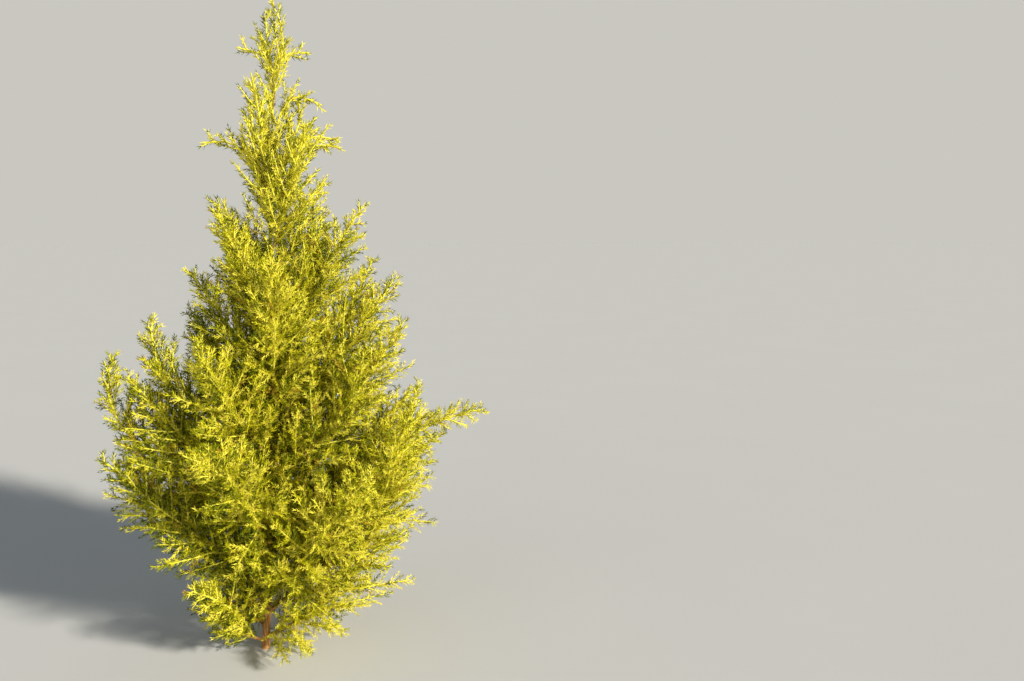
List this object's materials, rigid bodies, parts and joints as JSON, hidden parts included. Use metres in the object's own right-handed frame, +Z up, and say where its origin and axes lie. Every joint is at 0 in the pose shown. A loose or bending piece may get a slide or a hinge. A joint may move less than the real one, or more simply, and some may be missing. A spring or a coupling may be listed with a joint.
{
  "type": "young cypress tree",
  "caption": "Young rooted cypress: a thin leaning trunk, ascending boughs and a spindle of feathery yellow-green foliage.",
  "frame": {"origin": "centre of the flat cut under the trunk, at ground level", "axes": "+Z up the tree, -Y towards the viewer, +X to the viewer's right, where the trunk leans"},
  "size_m": [0.5822, 0.457, 1.0077],
  "materials": {
    "bark": "rough bark",
    "foliage": "matt needles"
  },
  "bodies": {
    "root": {"bough_01": "bark", "bough_02": "bark", "bough_03": "bark", "bough_04": "bark", "bough_05": "bark", "bough_06": "bark", "bough_07": "bark", "bough_08": "bark", "bough_09": "bark", "bough_10": "bark", "bough_11": "bark", "foliage_01": "foliage", "foliage_02": "foliage", "foliage_03": "foliage", "foliage_04": "foliage", "foliage_05": "foliage", "foliage_06": "foliage", "foliage_07": "foliage", "foliage_08": "foliage", "foliage_09": "foliage", "foliage_10": "foliage", "foliage_11": "foliage", "foliage_12": "foliage", "foliage_13": "foliage", "foliage_14": "foliage", "foliage_15": "foliage", "foliage_16": "foliage", "foliage_17": "foliage", "foliage_18": "foliage", "foliage_19": "foliage", "foliage_20": "foliage", "foliage_21": "foliage", "foliage_22": "foliage", "foliage_23": "foliage", "foliage_24": "foliage", "foliage_25": "foliage", "foliage_26": "foliage", "foliage_27": "foliage", "foliage_28": "foliage", "foliage_29": "foliage", "foliage_30": "foliage", "foliage_31": "foliage", "foliage_32": "foliage", "foliage_33": "foliage", "foliage_34": "foliage", "foliage_35": "foliage", "foliage_36": "foliage", "foliage_37": "foliage", "foliage_38": "foliage", "foliage_39": "foliage", "foliage_40": "foliage", "foliage_41": "foliage", "foliage_42": "foliage", "foliage_43": "foliage", "foliage_44": "foliage", "foliage_45": "foliage", "foliage_46": "foliage", "foliage_47": "foliage", "foliage_48": "foliage", "trunk": "bark"}
  },
  "joints": []
}
